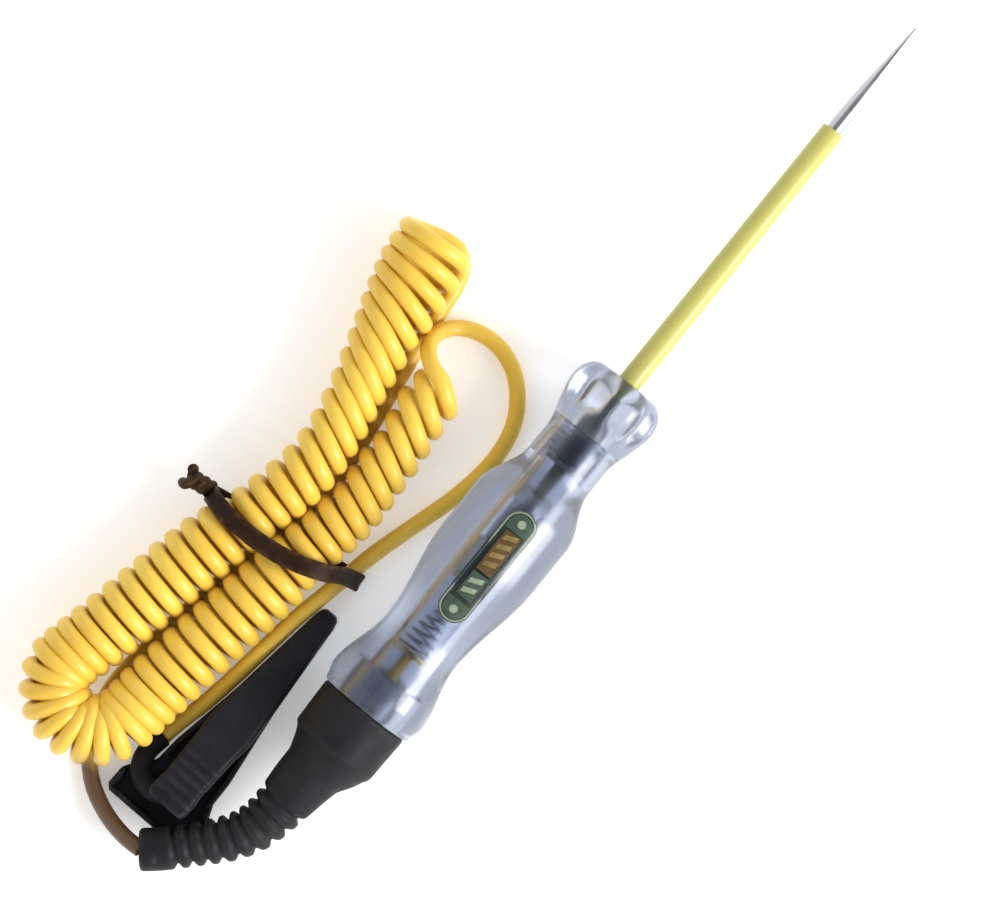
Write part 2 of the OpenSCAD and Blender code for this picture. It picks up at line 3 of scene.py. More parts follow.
import bmesh
import bpy
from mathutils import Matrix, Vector


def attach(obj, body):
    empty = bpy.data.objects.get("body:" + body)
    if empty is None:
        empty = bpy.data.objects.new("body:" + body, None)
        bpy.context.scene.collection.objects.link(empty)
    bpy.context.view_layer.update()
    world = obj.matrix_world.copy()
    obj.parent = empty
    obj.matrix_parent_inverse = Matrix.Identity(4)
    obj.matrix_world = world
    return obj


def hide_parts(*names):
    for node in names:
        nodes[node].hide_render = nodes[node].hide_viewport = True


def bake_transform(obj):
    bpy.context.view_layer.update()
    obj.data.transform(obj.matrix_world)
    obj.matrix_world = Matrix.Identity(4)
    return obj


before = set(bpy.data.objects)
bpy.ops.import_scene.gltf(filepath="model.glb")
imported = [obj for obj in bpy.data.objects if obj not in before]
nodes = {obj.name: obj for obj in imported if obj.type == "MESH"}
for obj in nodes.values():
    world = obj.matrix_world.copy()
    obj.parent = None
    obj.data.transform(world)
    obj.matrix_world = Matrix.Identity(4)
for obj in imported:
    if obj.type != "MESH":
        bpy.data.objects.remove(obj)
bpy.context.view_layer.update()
MM = 0.001

# ---- Bench, light and camera ----
# A pale bench top lit softly from all round, with a softbox on the near side. The bench glows a
# little, which keeps its shadows faint. The camera hangs straight above the tester, turned so that
# the needle points to the upper right.
camera_height = 1.2
camera_data = bpy.data.cameras.new("camera")
camera_data.lens = 194.2
camera = bpy.data.objects.new("camera", camera_data)
camera.location = (-33.8 * MM, 12.9 * MM, camera_height + 12.9 * MM)
camera.rotation_euler = (0, 0, math.radians(-51.05))
bpy.context.scene.collection.objects.link(camera)
bpy.context.scene.camera = camera
bpy.context.scene.view_settings.view_transform = "Standard"


def node(tree, kind, inputs=None, **settings):
    """Adds a shader node, sets what it is told, and joins or fills its inputs"""
    made = tree.nodes.new(kind)
    for key, value in settings.items():
        setattr(made, key, value)
    for key, value in (inputs or {}).items():
        if isinstance(value, bpy.types.NodeSocket):
            tree.links.new(value, made.inputs[key])
        else:
            made.inputs[key].default_value = value
    return made


def light_tent():
    """Soft light from the sides, dimmer overhead and at the horizon"""
    world = bpy.data.worlds.new("light_tent")
    world.use_nodes = True
    tree = world.node_tree
    place = node(tree, "ShaderNodeTexCoord")
    height = node(tree, "ShaderNodeSeparateXYZ", {0: place.outputs["Generated"]})
    ramp = node(tree, "ShaderNodeValToRGB", {0: height.outputs["Z"]})
    steps = ramp.color_ramp.elements
    steps[0].position = 0.0
    steps[0].color = (0.62, 0.62, 0.62, 1)
    steps[1].position = 1.0
    steps[1].color = (0.22, 0.22, 0.23, 1)
    for position, shade in ((0.22, 1.0), (0.7, 1.0), (0.9, 0.26)):
        step = steps.new(position)
        step.color = (shade, shade, shade, 1)
    background = tree.nodes["Background"]
    tree.links.new(ramp.outputs[0], background.inputs[0])
    background.inputs[1].default_value = 1.2
    bpy.context.scene.world = world


def softbox(name, at, aim, size, power):
    lamp_data = bpy.data.lights.new(name, "AREA")
    lamp_data.size = size
    lamp_data.energy = power
    lamp = bpy.data.objects.new(name, lamp_data)
    lamp.location = at
    lamp.rotation_euler = (Vector(aim) - Vector(at)).to_track_quat("-Z", "Y").to_euler()
    bpy.context.scene.collection.objects.link(lamp)


light_tent()
softbox("near_softbox", (0.1, -1.0, 0.62), (-0.03, 0.01, 0), 0.6, 16.0)

bench_size = 3.0
bench_z = -0.15 * MM
bench_mesh = bpy.data.meshes.new("bench")
corners = [(x * bench_size, y * bench_size, bench_z) for x, y in ((-1, -1), (1, -1), (1, 1), (-1, 1))]
bench_mesh.from_pydata(corners, [], [(0, 1, 2, 3)])
bench = bpy.data.objects.new("bench", bench_mesh)
bpy.context.scene.collection.objects.link(bench)
bench_paint = bpy.data.materials.new("bench_paint")
bench_paint.use_nodes = True
bench_tree = bench_paint.node_tree
bench_noise = node(bench_tree, "ShaderNodeTexNoise", {"Scale": 3.0, "Detail": 2.0})
bench_tone = node(bench_tree, "ShaderNodeMapRange",
                  {"Value": bench_noise.outputs[0], "To Min": 0.9, "To Max": 0.93})
bench_surface = bench_tree.nodes["Principled BSDF"]
bench_tree.links.new(bench_tone.outputs[0], bench_surface.inputs["Base Color"])
bench_surface.inputs["Roughness"].default_value = 0.9
bench_surface.inputs["Emission Strength"].default_value = 0.28
bench_surface.inputs["Emission Color"].default_value = (1, 1, 1, 1)
bench_surface.inputs["Specular IOR Level"].default_value = 0.1
bench_mesh.materials.append(bench_paint)

# ---- The lead ----
# One insulated wire from the strain relief to the clip, wound for most of its length into a
# springy coil that lies folded in two. The insulation is extruded soft plastic, amber yellow.
wire_d = 3.8 * MM
wire_r = wire_d / 2
lead_route = [
    (-0.1534, 0.0194, 0.0098), (-0.1536, 0.023, 0.0086), (-0.1532, 0.0275, 0.0062), (-0.152, 0.032, 0.0036),
    (-0.15, 0.0362, 0.0022), (-0.147, 0.0398, 0.0019), (-0.143, 0.0428, 0.0019), (-0.138, 0.0452, 0.0019),
    (-0.132, 0.047, 0.0019), (-0.125, 0.0472, 0.0019), (-0.115, 0.0462, 0.0019), (-0.105, 0.0446, 0.0019),
    (-0.095, 0.0429, 0.002), (-0.087, 0.0414, 0.0024), (-0.08, 0.04, 0.0029), (-0.073, 0.0383, 0.0023),
    (-0.066, 0.0374, 0.0019), (-0.058, 0.0375, 0.0019), (-0.05, 0.0385, 0.0019), (-0.042, 0.0397, 0.0019),
    (-0.034, 0.0409, 0.0019), (-0.026, 0.042, 0.0019), (-0.018, 0.043, 0.0019), (-0.0115, 0.0437, 0.0019),
    (-0.0072, 0.0453, 0.0019), (-0.0047, 0.0486, 0.0019)]
tail_route = [
    (-0.0256, 0.04, 0.0088), (-0.0228, 0.0404, 0.0056), (-0.0196, 0.0387, 0.003), (-0.0172, 0.0354, 0.0019),
    (-0.016, 0.031, 0.0019), (-0.0164, 0.026, 0.0019), (-0.0186, 0.0212, 0.0019), (-0.0224, 0.0172, 0.0019),
    (-0.0274, 0.0142, 0.0019), (-0.0334, 0.0128, 0.0019), (-0.04, 0.0128, 0.0019), (-0.048, 0.0141, 0.0019),
    (-0.056, 0.0163, 0.0019), (-0.064, 0.0187, 0.002), (-0.071, 0.0206, 0.0024), (-0.0776, 0.0219, 0.003),
    (-0.084, 0.0232, 0.0042), (-0.092, 0.0248, 0.0052), (-0.1, 0.0259, 0.0056), (-0.11, 0.0272, 0.0056),
    (-0.119, 0.0287, 0.0048), (-0.127, 0.0306, 0.003), (-0.1315, 0.0314, 0.0025)]
# Middle of the coil, one row for each station: x, y, z, outer radius, lean of the turns, pitch, all in mm
arm_1 = [
    (-5, 53.3, 10, 10, -0.22, 4.5), (-12, 52.9, 9.9, 9.9, -0.1, 4.5), (-20, 51.9, 9.6, 9.6, 0.12, 4.5),
    (-28, 50.6, 9.2, 9.2, 0.32, 4.5),
    (-38, 48.3, 8.7, 8.6, 0.46, 4.5), (-46, 46.3, 8.9, 8, 0.42, 4.8), (-54, 44.7, 9.8, 7.4, 0.36, 4.9),
    (-60, 44.1, 10.2, 7.2, 0.3, 4.9), (-66, 44.4, 9.9, 7.2, 0.24, 4.8), (-72, 45.4, 9.2, 7.3, 0.14, 4.7),
    (-78, 46.9, 8.5, 7.3, 0.05, 4.4), (-82, 47.9, 8.5, 7.3, 0.06, 4.4), (-86, 49.3, 8.4, 7.9, 0.08, 4.5),
    (-92, 50.9, 8.4, 8.3, 0.09, 4.5), (-100, 52.6, 8.4, 8.4, 0.09, 4.5), (-110, 54.6, 8.4, 8.4, 0.09, 4.5),
    (-120, 56.7, 9.2, 8.4, 0.06, 4.3)]
arm_2 = [
    (-120, 38.2, 9.2, 8.3, 0.02, 4.3), (-110, 36.8, 8.4, 8.3, 0.04, 4.55), (-100, 35.2, 8.4, 8.3, 0.04, 4.5),
    (-92, 33.9, 8.4, 8.2, 0.04, 4.5), (-86, 33, 8.4, 7.9, 0.05, 4.5), (-82, 32.7, 8.5, 7.3, 0.05, 4.4),
    (-78, 32.1, 8.5, 7.3, 0.06, 4.4), (-72, 30.7, 7.6, 7.2, 0.14, 4.4), (-66, 29.9, 7.4, 7.2, 0.24, 4.5),
    (-60, 29.7, 7.4, 7.2, 0.3, 4.5), (-54, 30, 7.4, 7.2, 0.36, 4.8), (-46, 30.6, 7.6, 7.5, 0.42, 5.2),
    (-38, 31.5, 7.9, 7.8, 0.5, 5.6), (-30, 32.1, 8.3, 8.2, 0.55, 6.0)]
fold_mid = (-131.5, 49.5)
fold_r = 9.35
fold_z = 11.9
fold_dip = 1.2
fold_coil_r = 8.15
fold_pitch = 3.1
fold_stagger = 0.42
rings_per_turn = 18
# How far each arm is pressed towards the other
arms_pressed = 0.6


def eased_line(rows, spacing):
    """A smooth curve through the rows, with points about `spacing` apart; further columns follow"""
    line = []
    last = len(rows) - 1
    for i in range(last):
        near = [rows[max(i - 1, 0)], rows[i], rows[i + 1], rows[min(i + 2, last)]]
        steps = max(1, round(math.dist(rows[i][:3], rows[i + 1][:3]) / spacing))
        for k in range(steps):
            t = k / steps
            line.append(tuple(
                0.5 * (2 * b + (c - a) * t + (2 * a - 5 * b + 4 * c - d) * t ** 2
                       + (3 * b - a - 3 * c + d) * t ** 3)
                for a, b, c, d in zip(*near)))
    line.append(tuple(rows[-1]))
    return line


def coil_stations():
    """Middle of the coil as rows of x, y, z, radius, heading of the turn's outer side, pitch"""
    rows = [(x, y - arms_pressed, z, r, 90 - math.degrees(math.atan(lean)), pitch)
            for x, y, z, r, lean, pitch in arm_1]
    for k in range(9):
        turn = 90 + 180 * k / 8
        rows.append((fold_mid[0] + fold_r * math.cos(math.radians(turn)),
                     fold_mid[1] + fold_r * math.sin(math.radians(turn)),
                     fold_z - fold_dip * abs(k - 4) / 4, fold_coil_r, turn, fold_pitch))
    rows += [(x, y + arms_pressed, z, r, 270 - math.degrees(math.atan(lean)), pitch)
             for x, y, z, r, lean, pitch in arm_2]
    return eased_line(rows, 0.25)


def wound_turns():
    """The wire's centre along the coil, starting under one end and leaving over the other"""
    stations = coil_stations()
    turns = [0.0]
    for a, b in zip(stations, stations[1:]):
        turns.append(turns[-1] + math.dist(a[:3], b[:3]) / a[5])
    whole = math.floor(turns[-1]) + 0.5
    stretch = whole / turns[-1]
    line = []
    at = 0
    for i in range(int(whole * rings_per_turn) + 1):
        wanted = i / rings_per_turn
        while at < len(turns) - 2 and turns[at + 1] * stretch < wanted:
            at += 1
        span = (turns[at + 1] - turns[at]) * stretch
        t = min(1, max(0, (wanted - turns[at] * stretch) / span))
        x, y, z, r, heading, _ = [a + (b - a) * t for a, b in zip(stations[at], stations[at + 1])]
        phase = 2 * math.pi * wanted
        reach = (r * MM - wire_r) * math.sin(phase)
        in_fold = max(0, math.sin(math.radians(heading - 90)))
        if reach < 0:
            reach *= 1 - fold_stagger * in_fold * ((math.floor(wanted + 0.5) * 2) % 3) / 2
        aim = math.radians(heading)
        line.append((x * MM + reach * math.cos(aim), y * MM + reach * math.sin(aim),
                     z * MM - (r * MM - wire_r) * math.cos(phase)))
    return line


def rings_along(line, radius_at, sides, first_side=(0, 0, 1)):
    """Rings of points round a line, carried along it without twisting"""
    points = [Vector(p) for p in line]
    side = Vector(first_side)
    rings = []
    for i, p in enumerate(points):
        along = (points[min(i + 1, len(points) - 1)] - points[max(i - 1, 0)]).normalized()
        side = (side - along * side.dot(along)).normalized()
        across = along.cross(side)
        ring = []
        for k in range(sides):
            angle = 2 * math.pi * k / sides
            ring.append(p + (side * math.cos(angle) + across * math.sin(angle)) * radius_at(i, angle))
        rings.append(ring)
    return rings


def piece(name, rings, body, material, closed=False, sharp=40):
    """A named mesh from rings of equal length, capped at both ends or closed into a loop"""
    sides = len(rings[0])
    points = [p for ring in rings for p in ring]
    count = len(rings)
    faces = []
    for i in range(count if closed else count - 1):
        a = i * sides
        b = (i + 1) % count * sides
        for k in range(sides):
            n = (k + 1) % sides
            faces.append((a + k, b + k, b + n, a + n))
    if not closed:
        faces.append(tuple(range(sides)))
        faces.append(tuple((count - 1) * sides + k for k in reversed(range(sides))))
    return solid(name, points, faces, body, material, sharp)


def solid(name, points, faces, body, material, sharp=40):
    mesh = bpy.data.meshes.new(name)
    mesh.from_pydata([tuple(p) for p in points], [], faces)
    shape = bmesh.new()
    shape.from_mesh(mesh)
    bmesh.ops.remove_doubles(shape, verts=shape.verts, dist=0.002 * MM)
    bmesh.ops.dissolve_degenerate(shape, edges=shape.edges, dist=0.002 * MM)
    bmesh.ops.recalc_face_normals(shape, faces=shape.faces)
    shape.to_mesh(mesh)
    shape.free()
    mesh.shade_smooth()
    mesh.set_sharp_from_angle(angle=math.radians(sharp))
    mesh.materials.append(material)
    made = bpy.data.objects.new(name, mesh)
    bpy.context.scene.collection.objects.link(made)
    if body:
        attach(made, body)
    return made


def node_group(name, inputs, outputs):
    tree = bpy.data.node_groups.new(name, "ShaderNodeTree")
    for label, kind, value in inputs:
        socket = tree.interface.new_socket(label, in_out="INPUT", socket_type=kind)
        socket.default_value = value
    for label, kind in outputs:
        tree.interface.new_socket(label, in_out="OUTPUT", socket_type=kind)
    return tree, node(tree, "NodeGroupInput").outputs, node(tree, "NodeGroupOutput").inputs


def make_patches():
    """Slow changes of colour, as in any batch of plastic or metal that has been handled"""
    tree, given, out = node_group(
        "patches",
        [("First", "NodeSocketColor", (1, 1, 1, 1)), ("Second", "NodeSocketColor", (0, 0, 0, 1)),
         ("Scale", "NodeSocketFloat", 60.0), ("Amount", "NodeSocketFloat", 0.5)],
        [("Color", "NodeSocketColor"), ("Mask", "NodeSocketFloat")])
    place = node(tree, "ShaderNodeTexCoord")
    noise = node(tree, "ShaderNodeTexNoise", {"Vector": place.outputs["Object"], "Scale": given["Scale"],
                                              "Detail": 6.0, "Roughness": 0.62})
    mask = node(tree, "ShaderNodeMapRange", {"Value": noise.outputs[0], "From Min": 0.36, "From Max": 0.66})
    share = node(tree, "ShaderNodeMath", {0: mask.outputs[0], 1: given["Amount"]}, operation="MULTIPLY")
    mixed = node(tree, "ShaderNodeMix", {0: share.outputs[0], 6: given["First"], 7: given["Second"]},
                 data_type="RGBA")
    tree.links.new(mixed.outputs[2], out["Color"])
    tree.links.new(mask.outputs[0], out["Mask"])
    return tree


def make_grain():
    """Fine moulding grain: a height for the bump and a roughness that wanders between two values"""
    tree, given, out = node_group(
        "grain",
        [("Scale", "NodeSocketFloat", 2000.0), ("Smooth", "NodeSocketFloat", 0.3),
         ("Dull", "NodeSocketFloat", 0.5)],
        [("Height", "NodeSocketFloat"), ("Roughness", "NodeSocketFloat")])
    place = node(tree, "ShaderNodeTexCoord")
    fine = node(tree, "ShaderNodeTexNoise", {"Vector": place.outputs["Object"], "Scale": given["Scale"],
                                             "Detail": 3.0})
    tenth = node(tree, "ShaderNodeMath", {0: given["Scale"], 1: 0.12}, operation="MULTIPLY")
    smears = node(tree, "ShaderNodeTexNoise", {"Vector": place.outputs["Object"], "Scale": tenth.outputs[0],
                                               "Detail": 4.0, "Distortion": 0.6})
    rough = node(tree, "ShaderNodeMapRange", {"Value": smears.outputs[0], "From Min": 0.3, "From Max": 0.7,
                                              "To Min": given["Smooth"], "To Max": given["Dull"]})
    tree.links.new(fine.outputs[0], out["Height"])
    tree.links.new(rough.outputs[0], out["Roughness"])
    return tree


def make_rubbed_and_highlit():
    """Where corners and ridges show wear and take a painted highlight: a mask from the surface's own
    sharpness, broken up
    """
    tree, given, out = node_group(
        "rubbed_and_highlit_edges",
        [("Reach", "NodeSocketFloat", 0.56), ("Scale", "NodeSocketFloat", 400.0)],
        [("Mask", "NodeSocketFloat")])
    edge = node(tree, "ShaderNodeNewGeometry")
    place = node(tree, "ShaderNodeTexCoord")
    noise = node(tree, "ShaderNodeTexNoise", {"Vector": place.outputs["Object"], "Scale": given["Scale"],
                                              "Detail": 5.0})
    near = node(tree, "ShaderNodeMapRange", {"Value": edge.outputs["Pointiness"], "From Min": 0.51,
                                             "From Max": given["Reach"]})
    broken = node(tree, "ShaderNodeMapRange", {"Value": noise.outputs[0], "From Min": 0.38, "From Max": 0.6})
    mask = node(tree, "ShaderNodeMath", {0: near.outputs[0], 1: broken.outputs[0]}, operation="MULTIPLY")
    tree.links.new(mask.outputs[0], out["Mask"])
    return tree


patches = make_patches()
grain = make_grain()
rubbed_and_highlit = make_rubbed_and_highlit()


def fill(tree, shared, inputs):
    made = tree.nodes.new("ShaderNodeGroup")
    made.node_tree = shared
    for key, value in inputs.items():
        made.inputs[key].default_value = value
    return made


def finish(name, first, second, spread, amount, smooth, dull, grain_scale, bump, shader=None, worn_and_highlit=None):
    """A material from the shared groups: two colours, a range of roughness, grain, and edges lightened by
    wear and painted highlight
    """
    material = bpy.data.materials.new(name)
    material.use_nodes = True
    tree = material.node_tree
    surface = tree.nodes["Principled BSDF"]
    for key, value in (shader or {}).items():
        surface.inputs[key].default_value = value
    tone = fill(tree, patches,
                {"First": (*first, 1), "Second": (*second, 1), "Scale": spread, "Amount": amount})
    feel = fill(tree, grain, {"Scale": grain_scale, "Smooth": smooth, "Dull": dull})
    colour = tone.outputs["Color"]
    if worn_and_highlit:
        # Corners and ridges are mixed to a lighter colour: partly wear, partly a painted highlight
        mask = fill(tree, rubbed_and_highlit, {"Reach": 0.56, "Scale": 500.0})
        mixed = node(tree, "ShaderNodeMix", {0: mask.outputs[0], 6: colour, 7: (*worn_and_highlit, 1)}, data_type="RGBA")
        colour = mixed.outputs[2]
    ripple = node(tree, "ShaderNodeBump",
                  {"Height": feel.outputs["Height"], "Strength": bump, "Distance": 0.1 * MM})
    tree.links.new(colour, surface.inputs["Base Color"])
    tree.links.new(feel.outputs["Roughness"], surface.inputs["Roughness"])
    tree.links.new(ripple.outputs[0], surface.inputs["Normal"])
    return material


def wire_insulation():
    """Amber plastic, with painted shade making it dark brown where it leaves the strain relief"""
    material = finish("wire_insulation", (0.80, 0.55, 0.075), (0.72, 0.43, 0.045), 45.0, 0.7,
                      0.28, 0.42, 1500.0, 0.12, {"Specular IOR Level": 0.4, "Subsurface Weight": 0.06,
                                                 "Subsurface Scale": 0.002})
    tree = material.node_tree
    surface = tree.nodes["Principled BSDF"]
    plain = surface.inputs["Base Color"].links[0].from_socket
    place = node(tree, "ShaderNodeTexCoord")
    axis = node(tree, "ShaderNodeSeparateXYZ", {0: place.outputs["Object"]})
    far = node(tree, "ShaderNodeMapRange",
               {"Value": axis.outputs["X"], "From Min": -0.1425, "From Max": -0.1475})
    low = node(tree, "ShaderNodeMapRange",
               {"Value": axis.outputs["Y"], "From Min": 0.044, "From Max": 0.041})
    where = node(tree, "ShaderNodeMath", {0: far.outputs[0], 1: low.outputs[0]}, operation="MULTIPLY")
    # Painted shade: the stretch by the strain relief, low beside the coil's fold, is mixed to dark brown
    painted_shade = node(tree, "ShaderNodeMix", {0: where.outputs[0], 6: plain, 7: (0.13, 0.07, 0.035, 1)},
                   data_type="RGBA")
    tree.links.new(painted_shade.outputs[2], surface.inputs["Base Color"])
    return material


wire_plastic = wire_insulation()
turns_line = wound_turns()
over_the_end = [(-29.2 * MM, 35.8 * MM, 14.1 * MM), (-27.6 * MM, 38.4 * MM, 11.8 * MM)]
wire_line = (eased_line(lead_route + turns_line[:1], 2 * MM)[:-1] + turns_line
             + eased_line(turns_line[-1:] + over_the_end + tail_route, 2 * MM)[1:])
lead_wire = piece("lead_wire", rings_along(wire_line, lambda i, a: wire_r, 14), "root", wire_plastic)
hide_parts("cord_lead", "cord_coil", "cord_tail")

# ---- Strain relief ----
# A black rubber boot pressed over the handle's rear end: a plain barrel, a sloping shoulder and a
# ribbed tail that bends with the lead, moulded in one.
axis_z = 12.8
boot_route = [
    (-97.4, 0, 12.8), (-103, 0, 12.8), (-109.4, 0, 12.8), (-114.8, 0.5, 12.7), (-119, 0.9, 12.6),
    (-124, 1.2, 12.4), (-128.5, 1.6, 12), (-132.5, 2.4, 11.7), (-136.2, 3.9, 11.3), (-139.6, 6.1, 11),
    (-142.9, 8.9, 10.7), (-146, 11.7, 10.4), (-149, 14.5, 10.1), (-151.4, 16.9, 9.9), (-153.5, 19.4, 9.8)]
# Distance from the handle's face along the boot, and radius
boot_outline = [(0, 10.3), (0.5, 10.8), (1.2, 10.9), (11.2, 10.6), (12, 10.3), (12.4, 9.9), (17.4, 7.5),
                (18.2, 7.2), (22, 6.8), (27, 6.2), (32, 5.8), (40, 5.4), (50, 5), (66, 4.8), (90, 4.8)]
rib_pitch = 3.3
rib_from = 26.5
end_block = 6.2
groove_depth = 1.3
end_round = 0.7
end_round_depth = 0.5


def between(outline, x):
    """Value of an outline of (place, value) pairs at x, in straight stretches"""
    for (xa, va), (xb, vb) in zip(outline, outline[1:]):
        if x <= xb:
            return va + (vb - va) * max(0, x - xa) / (xb - xa)
    return outline[-1][1]


def boot_line():
    line = eased_line([tuple(c * MM for c in p) for p in boot_route], 0.3 * MM)
    run = [0.0]
    for a, b in zip(line, line[1:]):
        run.append(run[-1] + math.dist(a, b) / MM)
    return line, run


def boot_rings():
    line, run = boot_line()
    whole = run[-1]

    def radius(i, angle):
        x = run[i]
        r = between(boot_outline, x)
        if rib_from < x < whole - end_block:
            wave = 0.5 - 0.5 * math.cos(2 * math.pi * (x - rib_from) / rib_pitch)
            r -= groove_depth * (0.45 + 0.55 * math.sin(angle) ** 2) * max(0, wave) ** 2
        if x > whole - end_round:
            r -= end_round_depth * ((x - whole + end_round) / end_round) ** 2
        return r * MM

    return rings_along(line, radius, 40)


boot_rubber = finish("boot_rubber", (0.012, 0.012, 0.014), (0.022, 0.021, 0.022), 90.0, 0.6, 0.42, 0.62,
                     2600.0, 0.35, {"Specular IOR Level": 0.12}, worn_and_highlit=(0.035, 0.035, 0.037))
boot = piece("strain_relief_boot", boot_rings(), "root", boot_rubber)
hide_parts("strain_relief")

# ---- Handle ----
# A thick-walled grip moulded in clear plastic, bored through for the lamp, with a wider bore in front
# for the cap's thread. A rolled rim at the rear, a waist, a palm swell with faint flats, and a neck.
rear_x = -97.4
seam_x = -19.2
nose_x = -4.4
tip_x = 97.4
bore_r = 4.6
thread_bore_r = 6.28
plug_r = 6.0
plug_end_x = rear_x + 8
thread_end_x = seam_x - 10
# Stations along the handle: x and radius, eased from one to the next
handle_stations = [(-97.0, 11.6), (-93, 12.5), (-78, 9.9), (-54, 12.8), (-42, 12.8), (-29, 8.5), (-23, 8.5)]
neck_x = -23
neck_r = 8.5
cap_peak = (-10.5, 11.8)
handle_flats = 12
flats_from = -91
flats_length = 61
flats_depth = 0.16


def eased_outline(stations, spacing=0.8):
    rows = []
    for (xa, ra), (xb, rb) in zip(stations, stations[1:]):
        steps = max(1, round((xb - xa) / spacing))
        for k in range(steps):
            t = k / steps
            rows.append((xa + (xb - xa) * t, ra + (rb - ra) * (1 - math.cos(math.pi * t)) / 2))
    return rows + [stations[-1]]


def lathe(outline, sides, shape=None):
    """Rings round the tester's axis from an outline of (x, radius), which shape() may change"""
    rings = []
    for x, r in outline:
        ring = []
        for k in range(sides):
            angle = 2 * math.pi * k / sides
            reach = shape(x, r, angle) if shape else r
            ring.append(Vector((x, reach * math.cos(angle), axis_z + reach * math.sin(angle))) * MM)
        rings.append(ring)
    return rings


def flare(x):
    """Radius of the cone that runs from the handle's neck into the nose cap"""
    t = (x - neck_x) / (cap_peak[0] - neck_x)
    return neck_r + (cap_peak[1] - neck_r) * (1 - math.cos(math.pi * t)) / 2


def faint_flats(x, r, angle):
    """Twelve shallow flats along the palm swell, faded out at the rim and the neck"""
    if r < 7 or x < flats_from or x > flats_from + flats_length:
        return r
    fade = math.sin(math.pi * (x - flats_from) / flats_length) ** 0.6
    return r - flats_depth * fade * (0.5 + 0.5 * math.cos(handle_flats * angle))


def clear_plastic(name):
    return finish(name, (0.50, 0.55, 0.67), (0.43, 0.48, 0.60), 30.0, 0.6, 0.16, 0.28, 350.0, 0.05,
                  {"Transmission Weight": 1.0, "IOR": 1.49, "Specular IOR Level": 0.5})


handle_outline = ([(rear_x, plug_r), (rear_x, 11.2)] + eased_outline(handle_stations)
                  + [(x, flare(x)) for x in (-22, -21, -20, seam_x)]
                  + [(seam_x, thread_bore_r), (thread_end_x, thread_bore_r), (thread_end_x, bore_r),
                     (plug_end_x, bore_r), (plug_end_x, plug_r)])
handle_plastic = clear_plastic("handle_plastic")
handle = piece("handle_grip", lathe(handle_outline, 96, faint_flats), "root", handle_plastic, closed=True)
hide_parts("handle")

# ---- Nose cap ----
# Clear like the handle. A flared grip with eight scooped flutes, and a screwed stub behind it that
# goes into the handle and carries the probe's bush.
cap_flutes = 8
flute_depth = 1.5
thread_pitch = 1.5
root_r = 5.75
crest_r = 6.18
stub_length = 8
cap_bore_r = 3.6
rod_hole_r = 2.74
cap_faces = [(-16.4, 0.15), (-13.2, 1.0), (-9.0, 1.0), (-6.2, 0.5), (nose_x, 0.0)]


def scooped(x, r, angle):
    """Flutes that are deepest where the cap is widest, each a rounded scoop between two ridges"""
    if r < 6.6 or x < -17.4:
        return r
    depth = flute_depth * between([(-17.4, 0.0)] + cap_faces, x)
    return r - depth * (0.5 + 0.5 * math.cos(cap_flutes * angle)) ** 1.4


def screw_stub():
    rows = []
    x = seam_x - stub_length
    while x < seam_x - 0.6:
        rows += [(x, root_r), (x + 0.35, crest_r), (x + 0.75, crest_r), (x + 1.1, root_r)]
        x += thread_pitch
    return rows + [(seam_x - 0.5, 6.15)]


cap_rows = [(seam_x + 0.05, flare(seam_x))] + [(x * 0.5, flare(x * 0.5)) for x in range(-38, -21)]
cap_round = [(cap_peak[0] + 6.1 * math.sin(math.radians(a)), 7 + 4.8 * math.cos(math.radians(a)))
             for a in range(0, 91, 9)]
cap_outline = (screw_stub() + [(seam_x + 0.05, 6.2)] + cap_rows + cap_round
               + [(nose_x - 0.05, rod_hole_r), (-9, rod_hole_r), (-9, cap_bore_r),
                  (seam_x - stub_length, cap_bore_r)])
cap_plastic = clear_plastic("cap_plastic")
cap = piece("nose_cap_grip", lathe(cap_outline, 96, scooped), "probe", cap_plastic, closed=True)
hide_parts("nose_cap")

# ---- Badge ----
# A label let into the top of the palm swell, almost black with green ends, and a pale ring round its edge
# that is a painted highlight. A brown field in front and a green one behind carry slanted bars, with a dot
# at each end. The marks are plain shapes that say nothing.
badge_x = -55.6
badge_len = 30.0
badge_w = 7.6
badge_tilt = 5.0
# Each step of the plate and of the pale ring round it: how far in from the edge, and how far off the skin
plate_steps = [(0, -0.1), (0, 0.22), (0.12, 0.34), (0.3, 0.4), (1.2, 0.4), (2.2, 0.4), (3.1, 0.4),
               (3.79, 0.4)]
edge_highlight_steps = [(0.32, 0.38), (0.38, 0.45), (0.62, 0.45), (0.68, 0.38)]
end_from = 9.6
end_inset = 1.0
dot_at = 11.9
dot_r = 0.95


def on_swell(u, v, lift):
    """A place on the badge: u along the handle and v across it, in mm, lifted off the handle's skin"""
    x = badge_x + u
    r = between(eased_outline(handle_stations), x)
    turn = math.radians(badge_tilt) - v / r
    reach = r + lift
    return Vector((x, -reach * math.sin(turn), axis_z + reach * math.cos(turn))) * MM


def stadium(inset, count=96):
    """Outline of the badge drawn in by inset, as (u, v)"""
    half = max(0.001, badge_w / 2 - inset)
    straight = (badge_len - badge_w) / 2
    points = []
    for k in range(count):
        angle = 2 * math.pi * k / count
        shift = straight if math.cos(angle) > 0 else -straight
        points.append((shift + half * math.cos(angle), half * math.sin(angle)))
    return points


def badge_rings(steps):
    return [[on_swell(u, v, lift) for u, v in stadium(inset)] for inset, lift in steps]


